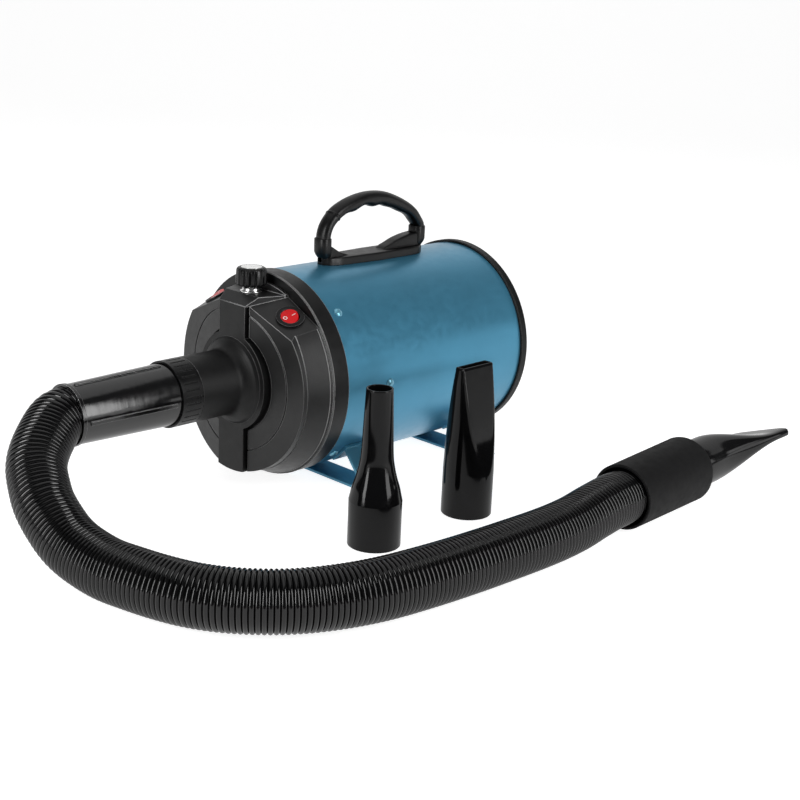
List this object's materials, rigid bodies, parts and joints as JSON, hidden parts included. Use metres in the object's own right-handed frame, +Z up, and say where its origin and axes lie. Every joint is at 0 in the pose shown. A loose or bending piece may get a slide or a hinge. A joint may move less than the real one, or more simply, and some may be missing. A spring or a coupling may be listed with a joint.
{
  "type": "pet dryer",
  "caption": "Cylinder pet dryer: steel tube body on bent stands, moulded head with speed knob and rocker switches, top handle, ribbed hose with grip sleeve, and slip-on nozzles.",
  "frame": {"origin": "centre of the front stand's underside, on the ground, in the dryer's middle plane", "axes": "+Z up, +X along the tube towards the air intake; the air leaves towards -X"},
  "size_m": [0.6557, 0.409, 0.2378],
  "materials": {
    "tube_blue": "satin",
    "head_black": "fine texture",
    "trim_black": "satin",
    "sleeve_black": "soft matte",
    "hose_black": "gloss",
    "nozzle_black": "high gloss",
    "rocker_red": "gloss",
    "bright_metal": "polished",
    "steel": "plain",
    "cast_aluminium": "plain",
    "laminations": "plain",
    "copper": "plain",
    "carbon": "plain",
    "mica": "matt",
    "board_green": "satin",
    "rubber": "matt",
    "foam": "matt"
  },
  "bodies": {
    "housing": {"shell": "tube_blue", "head_ring": "head_black", "head_cover": "head_black", "front_panel": "head_black", "rear_rim": "trim_black", "handle_base": "trim_black", "handle_grip": "trim_black", "handle_bolts": "bright_metal", "stand_front": "tube_blue", "stand_rear": "tube_blue", "stand_rivets": "tube_blue", "ring_screws": "tube_blue", "mount_screws": "tube_blue", "knob_nut": "bright_metal", "potentiometer": "board_green", "rocker_case_near": "head_black", "rocker_case_far": "head_black", "cord_gland": "trim_black", "rear_bulkhead": "steel", "motor_gasket": "rubber", "rubber_mount": "rubber", "motor_bracket": "steel", "fan_housing": "cast_aluminium", "fan_diffuser": "cast_aluminium", "motor_frame": "cast_aluminium", "stator_core": "laminations", "field_coils": "copper", "bearing_front": "steel", "bearing_rear": "steel", "brush_holders": "copper", "carbon_brushes": "carbon", "heater_tube": "mica", "heater_former": "mica", "heater_rings": "copper", "thermostat": "mica", "control_board": "board_green", "foam_lining": "foam", "wire_loom": "rubber", "hose_cuff": "trim_black", "hose": "hose_black", "hose_sleeve": "sleeve_black", "filter_sponge": "foam"},
    "rotor": {"motor_shaft": "steel", "armature": "laminations", "commutator": "copper", "impeller_rear": "cast_aluminium", "impeller_front": "cast_aluminium", "shaft_nut": "steel"},
    "knob": {"speed_knob": "trim_black", "knob_cap": "bright_metal", "pot_shaft": "steel"},
    "switch_near": {"rocker_near": "rocker_red"},
    "switch_far": {"rocker_far": "rocker_red"},
    "intake": {"intake_grille": "trim_black"},
    "collar": {"hose_collar": "trim_black"},
    "wide_nozzle": {"end_nozzle": "nozzle_black"},
    "spare_round": {"round_nozzle": "nozzle_black"},
    "spare_flat": {"flat_nozzle": "nozzle_black"}
  },
  "joints": [
    {"name": "rotor_spin", "type": "hinge", "parent": "housing", "child": "rotor", "pos_m": [0.029, 0, 0.091], "axis": [1, 0, 0], "continuous": true},
    {"name": "knob_turn", "type": "hinge", "parent": "housing", "child": "knob", "pos_m": [-0.0638, 0, 0.1653], "axis": [0, 0, -1], "range_deg": [0, 270]},
    {"name": "switch_near_rock", "type": "hinge", "parent": "housing", "child": "switch_near", "pos_m": [-0.06017, -0.04566, 0.14832], "axis": [0.1427, 0.8691, 0.4735], "range_deg": [0, 14]},
    {"name": "switch_far_rock", "type": "hinge", "parent": "housing", "child": "switch_far", "pos_m": [-0.06017, 0.04566, 0.14832], "axis": [-0.1427, 0.8691, -0.4735], "range_deg": [0, 14]},
    {"name": "intake_twist", "type": "hinge", "parent": "housing", "child": "intake", "pos_m": [0.189, 0, 0.091], "axis": [1, 0, 0], "range_deg": [0, 30]},
    {"name": "collar_twist", "type": "hinge", "parent": "housing", "child": "collar", "pos_m": [-0.141, 0, 0.091], "axis": [1, 0, 0], "range_deg": [0, 45]},
    {"name": "wide_nozzle_pull", "type": "slide", "parent": "housing", "child": "wide_nozzle", "axis": [0.9972, 0.075, 0], "range_m": [0, 0.03]},
    {"name": "spare_round_lift", "type": "slide", "parent": "housing", "child": "spare_round", "axis": [0, 0, 1], "range_m": [0, 0.15]},
    {"name": "spare_flat_lift", "type": "slide", "parent": "housing", "child": "spare_flat", "axis": [0, 0, 1], "range_m": [0, 0.15]}
  ]
}
